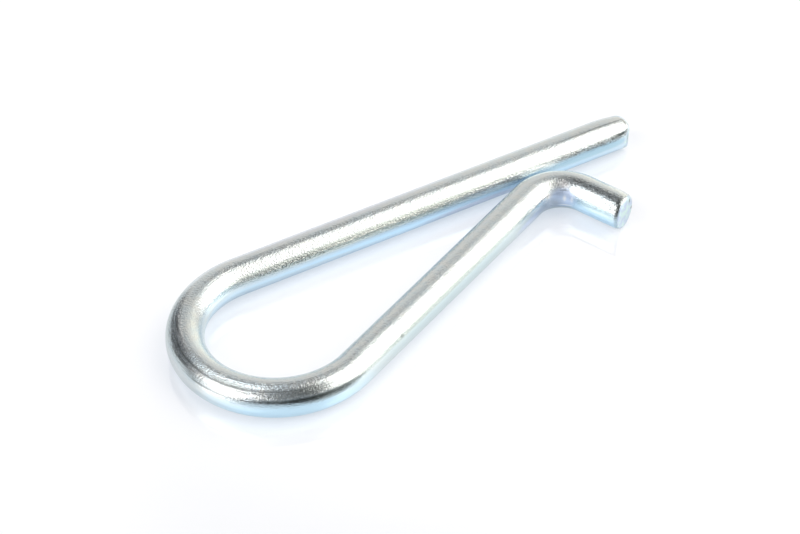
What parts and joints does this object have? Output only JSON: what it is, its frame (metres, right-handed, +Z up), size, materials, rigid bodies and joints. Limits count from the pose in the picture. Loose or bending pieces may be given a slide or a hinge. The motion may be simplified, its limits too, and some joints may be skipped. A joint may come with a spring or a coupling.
{
  "type": "hitch r clip pin",
  "caption": "Hitch R clip: round zinc-plated spring wire bent into a teardrop loop, with a straight leg and an outward-flared second leg, sheared at both ends.",
  "frame": {"origin": "under the middle of the clip as it lies flat, on the surface that it lies on", "axes": "+X along the straight leg towards its tip, +Y from the flared leg towards the straight leg, +Z up, square to the plane that the wire is bent in"},
  "size_m": [0.0597, 0.0232, 0.004],
  "materials": {
    "zinc_wire": "bright zinc plating with a cold blue-white passivation, drawn and slightly mottled"
  },
  "bodies": {
    "root": {"r_clip": "zinc_wire"}
  },
  "joints": []
}
